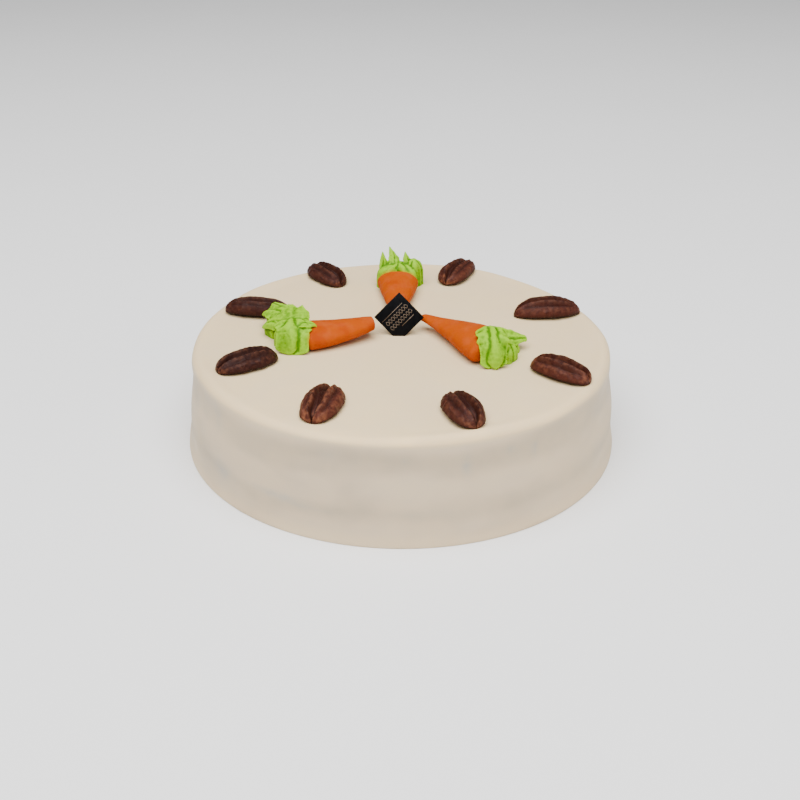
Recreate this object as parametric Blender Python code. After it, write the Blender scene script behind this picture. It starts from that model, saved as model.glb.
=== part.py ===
"""A round frosted carrot cake with pecan halves, three marzipan carrots and a square plaque.

Metres, +Z up. The origin is the centre of the cake's flat underside, and the cake stands on Z = 0.
+X is to the right and -Y is the front. Every piece is a closed solid of its own.
"""

import math

import bmesh
import bpy
from mathutils import Matrix, Vector

MM = 0.001

# The cake: a tall disc that narrows a little towards its top.
BASE_RADIUS = 118.0 * MM
TOP_RADIUS = 111.6 * MM
CAKE_HEIGHT = 56.0 * MM
RIM_ROUNDING = 3.6 * MM
RIM_LIP = 0.5 * MM
RIM_LIP_WIDTH = 9.0 * MM
ROUND_STEPS = 96

# The palette knife leaves the rim slightly uneven: (waves round the cake, size, bearing of a crest).
RIM_RISE_WAVES = ((2, 0.30 * MM, 150.0), (5, 0.55 * MM, 70.0))
RIM_BULGE_WAVES = ((2, 0.40 * MM, 20.0), (3, 0.30 * MM, 95.0))

# Clearance between pieces that touch.
GAP = 0.3 * MM

# Pecan halves: name, distance from the centre, bearing, heading of the outer end,
# length, width, height, and which end is split into two lobes (1 outer, -1 inner, 0 neither).
PECANS = (
    ("pecan_back_left", 96.0, 118.1, 124.0, 33.0, 18.4, 7.8, -1),
    ("pecan_back_right", 96.0, 69.6, 65.0, 35.0, 18.4, 7.8, 1),
    ("pecan_right_back", 89.2, 22.1, 9.0, 38.5, 16.8, 10.0, 0),
    ("pecan_right_front", 92.3, -27.3, -38.0, 34.3, 17.0, 8.8, 1),
    ("pecan_front_right", 90.3, -70.7, -69.0, 32.4, 18.8, 8.4, 1),
    ("pecan_front_left", 87.4, -116.0, -105.5, 33.8, 20.0, 8.8, 1),
    ("pecan_left_front", 86.8, -157.8, -145.0, 34.6, 19.4, 8.0, 1),
    ("pecan_left_back", 87.9, 158.1, 173.0, 37.0, 17.2, 9.0, 0),
)
PECAN_ROUND_STEPS = 24
PECAN_LONG_STEPS = 10
PECAN_EDGE_SHARE = 0.24  # height of the widest outline, as a share of the whole height

# Carrots: name, tip (x, y), root (x, y), half width at the tip and at the root, half height at the
# root, rise of the tip over the frosting, fullness of the taper, sideways bow and how much of the
# taper is a neck.
CARROTS = (
    ("carrot_left", (-14.8, 5.0), (-54.5, -6.8), 4.3, 14.0, 6.8, 5.0, 0.68, 1.5, 0.0),
    ("carrot_right", (11.2, 15.2), (48.5, -26.5), 2.3, 14.2, 7.7, 5.4, 0.58, 3.4, 0.6),
    ("carrot_back", (-3.4, 24.0), (-2.4, 72.0), 2.6, 12.8, 7.2, 4.2, 0.80, -0.8, 0.0),
)
CARROT_ROUND_STEPS = 16
CARROT_LONG_STEPS = 12
CARROT_BELLY_SHARE = 0.75  # depth of the flattened underside, as a share of the half height
CARROT_TIP_HEIGHT = 0.75  # half height at the tip, as a share of its half width
CARROT_NECK_SHARES = (0.04, 0.80)  # the shares of its length between which a necked carrot widens

# Piped leaves of each carrot. The heart is the icing over the carrot's root: centre (x, y), radius
# along the carrot, across it and upwards. Each leaf has its start, tip, width, thickness, roll in
# degrees, arch and ruffle. Heights are over the frosting.
LEAF_TOPS = {
    "leaves_left": (
        ((-57.5, -7.0), (10.2, 13.8, 12.8)),
        (
            ((-48.5, -7.0, 8.5), (-75.5, 4.5, 5.0), 20.5, 4.6, -32.0, 1.4, 1.0),
            ((-54.0, 4.0, 8.5), (-77.5, 18.0, 6.5), 16.5, 4.6, -4.0, 1.8, 1.1),
            ((-57.0, 12.0, 5.5), (-72.5, 26.5, 8.5), 17.0, 4.6, 2.0, 1.2, 1.2),
        ),
    ),
    "leaves_right": (
        ((49.6, -25.5), (8.2, 13.2, 12.8)),
        (
            ((43.0, -16.0, 11.0), (50.5, -35.5, 3.0), 16.0, 4.6, 35.0, 2.0, 1.0),
            ((45.0, -11.5, 8.0), (68.0, -7.5, 5.5), 15.5, 4.6, 20.0, 2.0, 1.0),
            ((50.0, -20.0, 6.0), (62.0, -24.0, 3.5), 15.0, 4.6, 0.0, 1.0, 1.0),
        ),
    ),
    "leaves_back": (
        ((-1.6, 73.5), (6.5, 14.0, 13.2)),
        (
            ((-8.5, 72.0, 6.0), (-11.2, 80.0, 18.0), 9.0, 4.6, 10.0, 0.0, 0.6),
            ((-4.0, 71.0, 11.0), (-6.4, 83.5, 18.5), 11.0, 4.6, 0.0, 1.0, 0.8),
            ((2.5, 71.0, 11.0), (2.6, 80.5, 18.0), 11.0, 4.6, 0.0, 1.0, 0.8),
            ((5.5, 72.0, 9.0), (9.0, 83.0, 8.0), 12.0, 5.0, 30.0, 1.0, 1.0),
        ),
    ),
}
PETAL_ROUND_STEPS = 12
PETAL_LONG_STEPS = 8
HEART_ROUND_STEPS = 14
HEART_LONG_STEPS = 8

# The plaque: a square standing on one corner, which is pushed into the frosting.
PLAQUE_SIDE = 19.3 * MM
PLAQUE_THICKNESS = 1.7 * MM
PLAQUE_LEAN_DEG = 18.0
PLAQUE_SUNK = 3.3 * MM
PLAQUE_FOOT = (-1.3 * MM, 4.2 * MM)
PLAQUE_EDGE = 0.25 * MM

# Material name: base colour, roughness, metallic.
FINISHES = {
    "frosting": ((0.68, 0.63, 0.55), 0.55, 0.0),
    "pecan": ((0.105, 0.035, 0.022), 0.50, 0.0),
    "marzipan": ((0.66, 0.13, 0.012), 0.50, 0.0),
    "leaf_icing": ((0.36, 0.58, 0.075), 0.50, 0.0),
    "plaque": ((0.010, 0.011, 0.013), 0.35, 0.0),
}


def clear_scene():
    """Removes everything that the scene starts with."""
    for item in list(bpy.data.objects):
        bpy.data.objects.remove(item)


def finish(name):
    """The named material, made on first use."""
    made = bpy.data.materials.get(name)
    if made:
        return made
    colour, roughness, metallic = FINISHES[name]
    made = bpy.data.materials.new(name)
    made.use_nodes = True
    shader = made.node_tree.nodes["Principled BSDF"]
    shader.inputs["Base Color"].default_value = (*colour, 1.0)
    shader.inputs["Roughness"].default_value = roughness
    shader.inputs["Metallic"].default_value = metallic
    return made


def add_object(name, shape, finish_name, location=(0.0, 0.0, 0.0), turn_deg=0.0):
    """Turns a bmesh into a smooth-shaded object at its place."""
    mesh = bpy.data.meshes.new(name)
    if shape.calc_volume(signed=True) < 0.0:
        bmesh.ops.reverse_faces(shape, faces=shape.faces)
    shape.to_mesh(mesh)
    shape.free()
    mesh.shade_smooth()
    mesh.set_sharp_from_angle(angle=math.radians(50.0))
    mesh.materials.append(finish(finish_name))
    item = bpy.data.objects.new(name, mesh)
    item.location = location
    item.rotation_euler = (0.0, 0.0, math.radians(turn_deg))
    bpy.context.scene.collection.objects.link(item)
    return item


def add_boolean(item, other, operation):
    """Joins or cuts an object with a helper, which is then hidden from the build."""
    other.hide_render = True
    other.display_type = "WIRE"
    modifier = item.modifiers.new(f"{operation.lower()}_{other.name}", "BOOLEAN")
    modifier.operation = operation
    modifier.object = other
    modifier.solver = "EXACT"


def shaped_ball(round_steps, long_steps, place):
    """A ball whose points are moved by place(along, bearing).

    along runs from 0 at the first pole to 1 at the second, and bearing is the angle round the axis.
    """
    shape = bmesh.new()
    bmesh.ops.create_uvsphere(shape, u_segments=round_steps, v_segments=long_steps, radius=1.0)
    for point in shape.verts:
        along = math.acos(max(-1.0, min(1.0, point.co.z))) / math.pi
        bearing = math.atan2(point.co.y, point.co.x)
        point.co = place(along, bearing)
    return shape


def signed_power(value, power):
    return math.copysign(abs(value) ** power, value)


def bump(value, centre, width):
    """A smooth hill of height 1."""
    return math.exp(-(((value - centre) / width) ** 2))


def smooth_step(value, low, high):
    share = max(0.0, min(1.0, (value - low) / (high - low)))
    return share * share * (3.0 - 2.0 * share)


def wave_sum(waves, bearing):
    return sum(size * math.cos(count * (bearing - math.radians(crest))) for count, size, crest in waves)


def rim_rounding_points(steps):
    """Points (radius, height) of the rounded rim, from the side up to the top."""
    centre_radius = TOP_RADIUS - RIM_ROUNDING
    centre_height = CAKE_HEIGHT + RIM_LIP - RIM_ROUNDING
    angles = [math.radians(90.0 * step / steps) for step in range(steps + 1)]
    return [
        (centre_radius + RIM_ROUNDING * math.cos(a), centre_height + RIM_ROUNDING * math.sin(a))
        for a in angles
    ]


def rim_rise(radius, bearing):
    """How far the uneven rim stands over or under the flat of the top."""
    near_rim = smooth_step(radius, TOP_RADIUS - RIM_LIP_WIDTH, TOP_RADIUS - RIM_ROUNDING)
    return near_rim * wave_sum(RIM_RISE_WAVES, bearing)


def make_cake():
    """The frosted cake: a turned profile whose rim and side wander a little."""
    rim = rim_rounding_points(4)
    middle_height = 0.5 * rim[0][1]
    middle_radius = 0.5 * (BASE_RADIUS + rim[0][0])
    profile = [(BASE_RADIUS, 0.0), (middle_radius, middle_height), *rim]
    profile.append((TOP_RADIUS - RIM_LIP_WIDTH, CAKE_HEIGHT))
    shape = bmesh.new()
    points = [shape.verts.new((radius, 0.0, height)) for radius, height in profile]
    edges = [shape.edges.new(pair) for pair in zip(points, points[1:])]
    bmesh.ops.spin(
        shape,
        geom=points + edges,
        cent=(0.0, 0.0, 0.0),
        axis=(0.0, 0.0, 1.0),
        angle=2.0 * math.pi,
        steps=ROUND_STEPS,
        use_merge=True,
    )
    bmesh.ops.remove_doubles(shape, verts=shape.verts, dist=1e-6)
    bmesh.ops.holes_fill(shape, edges=shape.edges, sides=0)
    bmesh.ops.recalc_face_normals(shape, faces=shape.faces)
    for point in shape.verts:
        height_share = point.co.z / CAKE_HEIGHT
        radius = point.co.xy.length
        bearing = math.atan2(point.co.y, point.co.x)
        spread = 1.0 + height_share * wave_sum(RIM_BULGE_WAVES, bearing) / radius
        point.co.x *= spread
        point.co.y *= spread
        point.co.z += smooth_step(height_share, 0.8, 1.0) * rim_rise(radius, bearing)
    return add_object("cake", shape, "frosting")


def pecan_point(along, bearing, length, width, height, split):
    """A point of a pecan half: two lobes with a ridged groove between them, on a flat underside."""
    forward = math.cos(math.pi * (1.0 - along))
    roundness = math.sqrt(max(0.0, 1.0 - forward * forward))
    across = signed_power(math.cos(bearing), 1.3)
    split_end = smooth_step(forward * split, 0.2, 1.0) if split else 0.0
    edge = PECAN_EDGE_SHARE * height * roundness**0.5
    crown = height * roundness**0.75
    if math.sin(bearing) >= 0.0:
        groove = 0.30 * (1.0 + 0.9 * split_end) * bump(abs(across), 0.17, 0.10)
        ridge_drop = 0.10 * bump(across, 0.0, 0.08)
        side_groove = 0.11 * bump(abs(across), 0.64, 0.10)
        dip = height * roundness * (groove + ridge_drop + side_groove)
        rise = edge + (crown - edge) * (1.0 - abs(across) ** 2.4) ** 0.55 - dip
    else:
        rise = edge * (1.0 - min(1.0, 1.6 * abs(math.sin(bearing))))
    notch = 1.0 - 0.14 * split_end * max(0.0, 1.0 - abs(across) / 0.36)
    x = 0.5 * length * forward * notch
    y = 0.5 * width * across * roundness**0.9
    return Vector((x, y, max(0.0, rise)))


def make_pecan(name, distance, bearing_deg, heading_deg, length, width, height, split):
    """One pecan half, lying on its flat side."""
    shape = shaped_ball(
        PECAN_ROUND_STEPS,
        PECAN_LONG_STEPS,
        lambda along, turn: pecan_point(along, turn, length * MM, width * MM, height * MM, split),
    )
    bearing = math.radians(bearing_deg)
    outer_end = distance * MM + 0.5 * length * MM
    over_rim = smooth_step(outer_end, TOP_RADIUS - RIM_LIP_WIDTH, TOP_RADIUS - RIM_ROUNDING)
    rest = max(0.0, over_rim * (RIM_LIP + wave_sum(RIM_RISE_WAVES, bearing)))
    location = (
        distance * MM * math.cos(bearing),
        distance * MM * math.sin(bearing),
        CAKE_HEIGHT + rest + GAP,
    )
    return add_object(name, shape, "pecan", location, heading_deg)


def closed_ends(share, tip_cap, root_cap):
    """1 along the middle of a shape, falling to 0 in a round cap at either end."""
    from_end = min(share / tip_cap, (1.0 - share) / root_cap, 1.0)
    return math.sqrt(max(0.0, 1.0 - (1.0 - from_end) ** 2))


def carrot_point(along, bearing, size):
    """A point of a carrot that lies along +X from its tip, flattened underneath."""
    share = 0.5 - 0.5 * math.cos(math.pi * along)
    taper = share ** size["fullness"]
    neck_start, neck_end = CARROT_NECK_SHARES
    necked = min(1.0, max(0.0, (share - neck_start) / (neck_end - neck_start)))
    taper += size["neck"] * (necked * necked * (3.0 - 2.0 * necked) - taper)
    cap = closed_ends(share, 0.05, 0.10)
    half_width = (size["tip"] + (size["root"] - size["tip"]) * taper) * cap
    tip_height = CARROT_TIP_HEIGHT * size["tip"]
    half_height = tip_height + (size["height"] - tip_height) * taper
    middle = size["lift"] * (1.0 - share) ** 1.6 + CARROT_BELLY_SHARE * half_height
    across = math.cos(bearing)
    upward = math.sin(bearing)
    if upward < 0.0:
        upward = CARROT_BELLY_SHARE * signed_power(upward, 0.6)
    bow = size["bow"] * 4.0 * share * (1.0 - share)
    grow = size["grow"]
    return Vector(
        (
            size["length"] * share + grow * (2.0 * share - 1.0),
            half_width * across + bow + grow * across,
            max(0.0, middle + half_height * cap * upward + grow * math.sin(bearing)),
        )
    )


def make_carrot(name, tip, root, tip_half, root_half, half_height, lift, fullness, bow, neck, grow=0.0):
    """A marzipan carrot from its tip to its root. grow makes the cutter for its neighbours."""
    reach = Vector(root) - Vector(tip)
    size = {
        "length": reach.length * MM,
        "tip": tip_half * MM,
        "root": root_half * MM,
        "height": half_height * MM,
        "lift": lift * MM,
        "fullness": fullness,
        "bow": bow * MM,
        "neck": neck,
        "grow": grow,
    }
    shape = shaped_ball(
        CARROT_ROUND_STEPS,
        CARROT_LONG_STEPS,
        lambda along, bearing: carrot_point(along, bearing, size),
    )
    location = (tip[0] * MM, tip[1] * MM, CAKE_HEIGHT + GAP)
    heading = math.degrees(math.atan2(reach.y, reach.x))
    return add_object(name, shape, "marzipan", location, heading)


def petal_frame(start, tip, roll_deg):
    """The directions along, across and out of a petal's blade."""
    forward = (tip - start).normalized()
    side = Vector((0.0, 0.0, 1.0)).cross(forward).normalized()
    turn = Matrix.Rotation(math.radians(roll_deg), 3, forward)
    side = turn @ side
    return forward, side, forward.cross(side)


def make_petal(name, start, tip, width, thickness, roll_deg, arch, ruffle):
    """One piped leaf: full where the nozzle starts, with wavy edges, and drawn out to a point."""
    start = Vector(start) * MM
    tip = Vector(tip) * MM
    forward, side, normal = petal_frame(start, tip, roll_deg)
    length = (tip - start).length

    def place(along, bearing):
        share = 0.5 - 0.5 * math.cos(math.pi * along)
        full = closed_ends(share, 0.22, 0.06) * (1.0 - 0.72 * smooth_step(share, 0.30, 1.0))
        across = math.cos(bearing)
        half_width = 0.5 * width * MM * full
        half_thick = 0.5 * thickness * MM * closed_ends(share, 0.15, 0.6) * (1.0 - 0.55 * across**2)
        wave = math.sin(2.0 * math.pi * 2.2 * share + (1.1 if across > 0.0 else 3.0))
        lift = arch * MM * 4.0 * share * (1.0 - share) + ruffle * MM * wave * across**2
        centre = start + forward * (length * share)
        return centre + side * (half_width * across) + normal * (half_thick * math.sin(bearing) + lift)

    shape = shaped_ball(PETAL_ROUND_STEPS, PETAL_LONG_STEPS, place)
    return add_object(name, shape, "leaf_icing", (0.0, 0.0, CAKE_HEIGHT + GAP))


def make_icing_heart(name, heading, centre, radii):
    """The mound of icing over the carrot's root, which the leaves grow out of."""
    shape = bmesh.new()
    bmesh.ops.create_uvsphere(
        shape, u_segments=HEART_ROUND_STEPS, v_segments=HEART_LONG_STEPS, radius=MM
    )
    bmesh.ops.scale(shape, vec=radii, verts=shape.verts)
    location = (centre[0] * MM, centre[1] * MM, CAKE_HEIGHT + GAP)
    return add_object(name, shape, "leaf_icing", location, heading)


def make_ground_cutter():
    """A slab that fills the cake's space, up to the clearance over its top."""
    shape = bmesh.new()
    bmesh.ops.create_cube(shape, size=1.0)
    depth = 0.5 * CAKE_HEIGHT
    bmesh.ops.scale(shape, vec=(2.0 * BASE_RADIUS, 2.0 * BASE_RADIUS, depth), verts=shape.verts)
    top = CAKE_HEIGHT + GAP
    cutter = add_object("ground_cutter", shape, "frosting", (0.0, 0.0, top - 0.5 * depth))
    cutter.hide_render = True
    cutter.display_type = "WIRE"
    return cutter


def make_leaf_top(name, heart_place, petals, carrot, ground):
    """The leaves of one carrot, joined into one piece and cut round the carrot and the cake."""
    reach = Vector(carrot[2]) - Vector(carrot[1])
    heading = math.degrees(math.atan2(reach.y, reach.x))
    heart = make_icing_heart(name, heading, *heart_place)
    for number, petal in enumerate(petals):
        blade = make_petal(f"{name}_petal_{number + 1}", *petal)
        add_boolean(heart, blade, "UNION")
    around = make_carrot(f"{name}_carrot_cutter", *carrot[1:], grow=GAP)
    add_boolean(heart, around, "DIFFERENCE")
    add_boolean(heart, ground, "DIFFERENCE")
    return heart


def plaque_shape(grow):
    """A bevelled square plate standing on a corner, with its front face in the XZ plane at Y = 0."""
    side = PLAQUE_SIDE + 2.0 * grow
    thickness = PLAQUE_THICKNESS + 2.0 * grow
    shape = bmesh.new()
    bmesh.ops.create_cube(shape, size=1.0)
    bmesh.ops.scale(shape, vec=(side, thickness, side), verts=shape.verts)
    bmesh.ops.bevel(
        shape, geom=shape.edges[:], offset=PLAQUE_EDGE, segments=1, profile=0.5, affect="EDGES"
    )
    bmesh.ops.rotate(shape, matrix=Matrix.Rotation(math.radians(45.0), 3, "Y"), verts=shape.verts)
    half_diagonal = PLAQUE_SIDE / math.sqrt(2.0)
    up = (0.0, 0.5 * PLAQUE_THICKNESS, half_diagonal - PLAQUE_SUNK)
    bmesh.ops.translate(shape, vec=up, verts=shape.verts)
    return shape


def make_plaque(name, grow=0.0):
    """The plaque, leaning back from its foot. grow makes the cutter for its slot."""
    item = add_object(name, plaque_shape(grow), "plaque", (*PLAQUE_FOOT, CAKE_HEIGHT))
    item.rotation_euler = (math.radians(-PLAQUE_LEAN_DEG), 0.0, 0.0)
    return item


def main():
    clear_scene()
    cake = make_cake()
    for pecan in PECANS:
        make_pecan(*pecan)
    for carrot in CARROTS:
        make_carrot(*carrot)
    ground = make_ground_cutter()
    for (name, (heart, petals)), carrot in zip(LEAF_TOPS.items(), CARROTS):
        make_leaf_top(name, heart, petals, carrot, ground)
    make_plaque("plaque")
    add_boolean(cake, make_plaque("plaque_slot_cutter", GAP), "DIFFERENCE")


main()
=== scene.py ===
"""Looks of a round carrot cake: frosting, pecan halves, marzipan carrots, piped leaves and a plaque.

Metres, +Z up, -Y towards the front. Each operator models one kind of piece around the fixed frame.
"""

import math

import bmesh
import bpy
from bpy.props import FloatProperty, FloatVectorProperty, IntProperty, PointerProperty
from mathutils import Matrix, Vector, noise
from mathutils.bvhtree import BVHTree


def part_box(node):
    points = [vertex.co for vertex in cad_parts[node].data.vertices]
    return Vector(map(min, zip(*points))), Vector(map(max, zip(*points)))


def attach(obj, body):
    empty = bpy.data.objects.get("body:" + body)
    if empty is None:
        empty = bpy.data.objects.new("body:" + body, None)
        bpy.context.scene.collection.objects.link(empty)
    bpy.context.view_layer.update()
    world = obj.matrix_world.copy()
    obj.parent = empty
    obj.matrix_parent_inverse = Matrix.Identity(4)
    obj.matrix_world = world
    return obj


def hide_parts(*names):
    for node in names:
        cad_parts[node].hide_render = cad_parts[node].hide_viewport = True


bl_info = {
    "name": "Carrot Cake",
    "version": (1, 0, 0),
    "blender": (4, 5, 0),
    "location": "View3D > Sidebar > Carrot Cake",
    "description": "Models the frosting, nuts, marzipan carrots, piped leaves and plaque of a carrot cake",
    "category": "Object",
}

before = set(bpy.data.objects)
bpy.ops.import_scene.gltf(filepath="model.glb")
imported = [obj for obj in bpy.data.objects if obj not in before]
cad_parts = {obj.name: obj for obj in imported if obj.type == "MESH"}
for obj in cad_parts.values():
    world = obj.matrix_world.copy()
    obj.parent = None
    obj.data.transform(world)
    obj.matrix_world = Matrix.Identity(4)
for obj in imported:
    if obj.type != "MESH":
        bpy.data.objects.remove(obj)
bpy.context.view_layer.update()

MM = 0.001

# The frosted cake, as the frame has it.
BASE_RADIUS = 118.0 * MM
TOP_RADIUS = 111.6 * MM
CAKE_HEIGHT = 56.0 * MM
RIM_ROUNDING = 3.6 * MM
RIM_LIP = 0.5 * MM
RIM_LIP_WIDTH = 9.0 * MM
RIM_RISE_WAVES = ((2, 0.30 * MM, 150.0), (5, 0.55 * MM, 70.0))
RIM_BULGE_WAVES = ((2, 0.40 * MM, 20.0), (3, 0.30 * MM, 95.0))
GAP = 0.3 * MM

# Frosting mesh: points round the cake, rings on its top, rows up its side.
ROUND_STEPS = 448
TOP_RING_STEP = 2.0 * MM
SIDE_CUTS = 42
RIM_SEGMENTS = 9
FOOT_ROUNDING = 0.7 * MM

# Thin spots in the side's frosting: bearing, height, half length along the side, half height, strength.
THIN_SPOTS = (
    (-122.0, 18.6 * MM, 12.0 * MM, 1.8 * MM, 0.9),
    (-113.0, 16.5 * MM, 14.0 * MM, 1.2 * MM, 0.5),
    (-84.0, 18.0 * MM, 11.0 * MM, 2.4 * MM, 0.5),
    (-141.4, 16.5 * MM, 7.0 * MM, 4.0 * MM, 0.8),
    (-144.5, 44.0 * MM, 3.5 * MM, 7.0 * MM, 0.5),
    (-73.8, 42.5 * MM, 2.4 * MM, 5.0 * MM, 0.9),
    (-54.9, 42.5 * MM, 1.8 * MM, 3.6 * MM, 0.9),
    (-61.8, 46.0 * MM, 3.5 * MM, 2.4 * MM, 0.6),
    (-108.5, 46.5 * MM, 4.0 * MM, 3.0 * MM, 0.5),
    (-89.2, 45.5 * MM, 1.6 * MM, 2.0 * MM, 0.4),
    (-166.0, 20.0 * MM, 9.0 * MM, 15.0 * MM, 0.5),
    (14.0, 30.0 * MM, 9.0 * MM, 4.0 * MM, 0.7),
    (58.0, 17.0 * MM, 12.0 * MM, 2.6 * MM, 0.8),
    (96.0, 42.0 * MM, 3.0 * MM, 6.0 * MM, 0.7),
    (141.0, 28.0 * MM, 6.0 * MM, 5.0 * MM, 0.6),
)

# Pecan halves: node, heading of the outer end, groove's place across (-1 to 1), how far the outer
# and the inner end are split, depth of each lobe's side groove (left, right), how pointed the ends
# are, how dark the skin is, how strong its tan wear and painted highlight are, and a seed.
PECANS = (
    ("pecan_back_left", 124.0, -0.22, 0.3, 1.0, 0.16, 0.20, 0.80, 0.75, 0.25, 1),
    ("pecan_back_right", 65.0, 0.05, 1.0, 0.6, 0.26, 0.10, 0.78, 0.35, 0.45, 2),
    ("pecan_right_back", 9.0, 0.26, 0.2, 0.1, 0.12, 0.34, 1.00, 0.42, 0.35, 3),
    ("pecan_right_front", -38.0, 0.30, 1.0, 0.1, 0.10, 0.36, 0.72, 0.35, 0.45, 4),
    ("pecan_front_right", -69.0, 0.26, 1.0, 0.5, 0.14, 0.24, 0.74, 0.60, 0.35, 5),
    ("pecan_front_left", -105.5, -0.16, 0.8, 1.0, 0.30, 0.14, 0.70, 0.10, 0.75, 6),
    ("pecan_left_front", -145.0, -0.14, 0.9, 0.2, 0.30, 0.16, 0.76, 1.00, 0.30, 7),
    ("pecan_left_back", 173.0, 0.12, 0.1, 0.2, 0.18, 0.30, 0.78, 0.80, 0.20, 8),
)

# Carrots: node, tip (x, y), root (x, y), half width at tip and root, half height at the root, rise
# of the tip, fullness of the taper, sideways bow, how much of the taper is a neck, and seed.
CARROTS = (
    ("carrot_left", (-14.8, 5.0), (-54.5, -6.8), 4.3, 14.0, 6.8, 5.0, 0.68, 1.5, 0.0, 11),
    ("carrot_right", (11.2, 15.2), (48.5, -26.5), 2.3, 14.2, 7.7, 5.4, 0.58, 3.4, 0.6, 23),
    ("carrot_back", (-3.4, 24.0), (-2.4, 72.0), 2.6, 12.8, 7.2, 4.2, 0.80, -0.8, 0.0, 37),
)
CARROT_BELLY_SHARE = 0.75
CARROT_TIP_HEIGHT = 0.75
CARROT_NECK_SHARES = (0.04, 0.80)

# Icing leaves of each carrot, in millimetres over the frosting. A mound has its middle (x, y), its
# height, how full its sides are, its reach at eight bearings from +X on round, its number of folds
# and their depth. A leaf has its start, middle and tip, its width, the share of it left at the tip,
# its thickness, roll in degrees, cup, ruffle, depth of its vein and height of its folds. A leaf with
# no vein hangs over the carrot's end, and its folds fan out.
LEAF_TOPS = {
    "leaves_left": {
        "carrot": "carrot_left",
        "mounds": (
            ((-58.5, -4.5), 12.0, 0.60, (14.8, 7.0, 6.5, 9.5, 10.5, 11.0, 9.0, 8.0), 4, 1.4),
            ((-64.5, 7.0), 10.6, 0.45, (4.0, 5.2, 9.5, 11.5, 10.5, 9.0, 9.0, 8.0), 4, 1.2),
        ),
        "leaves": (
            ((-50.0, -5.0, 11.0), (-63.0, -1.0, 14.0), (-76.0, 4.5, 4.5), 20.0, 0.16, 4.6, -30.0, 1.2, 0.9, 0.7, 0.16),
            ((-57.5, 3.0, 10.0), (-68.0, 9.0, 12.6), (-76.8, 17.6, 6.5), 17.0, 0.16, 4.4, -12.0, 1.6, 0.9, 0.7, 0.16),
            ((-62.0, 9.0, 8.0), (-67.0, 14.0, 11.6), (-72.0, 27.5, 8.5), 16.0, 0.16, 4.4, -6.0, 1.6, 1.0, 0.7, 0.16),
            ((-65.0, 4.0, 10.0), (-63.5, 9.0, 11.8), (-62.5, 16.5, 7.5), 8.0, 0.40, 3.6, 6.0, 0.8, 0.8, 0.6, 0.16),
            ((-58.5, 2.0, 6.0), (-57.5, -13.0, 22.0), (-58.2, -19.5, 0.8), 19.0, 0.92, 4.4, 0.0, -1.2, 1.6, 0.0, 0.75),
            ((-56.0, -9.0, 12.0), (-50.0, -9.0, 15.0), (-45.0, -8.0, 10.6), 11.0, 0.12, 2.8, 0.0, 0.3, 0.6, 0.3, 0.16),
        ),
    },
    "leaves_right": {
        "carrot": "carrot_right",
        "mounds": (
            ((50.5, -22.0), 11.0, 0.60, (8.0, 8.6, 9.5, 7.0, 6.0, 7.5, 8.5, 9.0), 3, 1.4),
            ((54.5, -22.0), 8.4, 0.50, (6.4, 6.0, 7.0, 7.0, 6.0, 6.0, 7.5, 7.0), 4, 1.3),
            ((55.5, -12.5), 6.4, 0.45, (8.0, 6.5, 5.0, 6.0, 8.0, 7.0, 7.0, 7.5), 3, 0.8),
        ),
        "leaves": (
            ((46.0, -15.0, 6.5), (56.0, -12.5, 7.4), (67.4, -9.0, 5.4), 15.0, 0.30, 4.2, 24.0, 2.2, 0.9, 0.7, 0.16),
            ((48.0, -12.5, 6.0), (56.0, -10.5, 6.4), (64.0, -9.5, 5.0), 9.0, 0.30, 3.4, 6.0, 0.8, 0.9, 0.5, 0.16),
            ((46.4, -7.5, 8.0), (47.6, -28.0, 24.5), (48.4, -35.5, 0.8), 16.0, 0.92, 4.6, 0.0, -1.2, 1.8, 0.0, 0.75),
        ),
    },
    "leaves_back": {
        "carrot": "carrot_back",
        "mounds": (
            ((-2.0, 76.5), 14.3, 0.62, (13.0, 9.0, 7.0, 9.5, 13.2, 11.4, 4.9, 11.6), 6, 1.1),
            ((6.5, 77.5), 16.0, 0.50, (5.8, 6.6, 6.4, 6.0, 5.0, 5.0, 5.6, 5.8), 4, 1.2),
            ((-6.0, 78.0), 15.3, 0.40, (5.0, 5.6, 5.4, 5.6, 6.0, 5.4, 5.0, 5.0), 4, 1.0),
        ),
        "leaves": (
            ((-9.0, 74.0, 6.0), (-11.2, 77.0, 13.0), (-11.4, 78.5, 20.3), 7.0, 0.12, 2.8, 0.0, 0.3, 0.2, 0.5, 0.16),
            ((-3.0, 75.0, 12.0), (-5.0, 80.0, 16.0), (-7.4, 85.0, 21.0), 7.0, 0.12, 2.8, 0.0, 0.4, 0.3, 0.5, 0.16),
            ((3.5, 76.0, 12.0), (2.6, 78.0, 16.0), (2.0, 80.0, 20.0), 5.0, 0.14, 2.4, 0.0, 0.3, 0.3, 0.4, 0.16),
        ),
    },
}

# Distance between the small ridges across a leaf.
RIDGE_PITCH = 3.6 * MM

# The plaque, as the frame has it.
PLAQUE_SIDE = 19.3 * MM
PLAQUE_THICKNESS = 1.7 * MM
PLAQUE_LEAN_DEG = 18.0
PLAQUE_SUNK = 3.3 * MM
PLAQUE_FOOT = (-1.3 * MM, 4.2 * MM)
# Its printed lines: middle and level on the face, and length. The pattern's length and the ink's thickness.
PLAQUE_LINES = ((-0.9 * MM, 4.5 * MM, 15.2 * MM), (2.4 * MM, -4.5 * MM, 9.0 * MM))
PLAQUE_PATTERN_LENGTH = 15.6 * MM
PRINT_THICKNESS = 0.06 * MM

# The camera: its place, downward pitch and roll in degrees, and its field of view.
CAMERA_PLACE = (-0.0005, -0.61576, 0.34831)
CAMERA_PITCH_DEG = 28.167
CAMERA_ROLL_DEG = 0.37
CAMERA_LENS_MM = 56.25
SENSOR_MM = 36.0


# ---------------------------------------------------------------------------------------------
# Settings
# ---------------------------------------------------------------------------------------------


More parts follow.
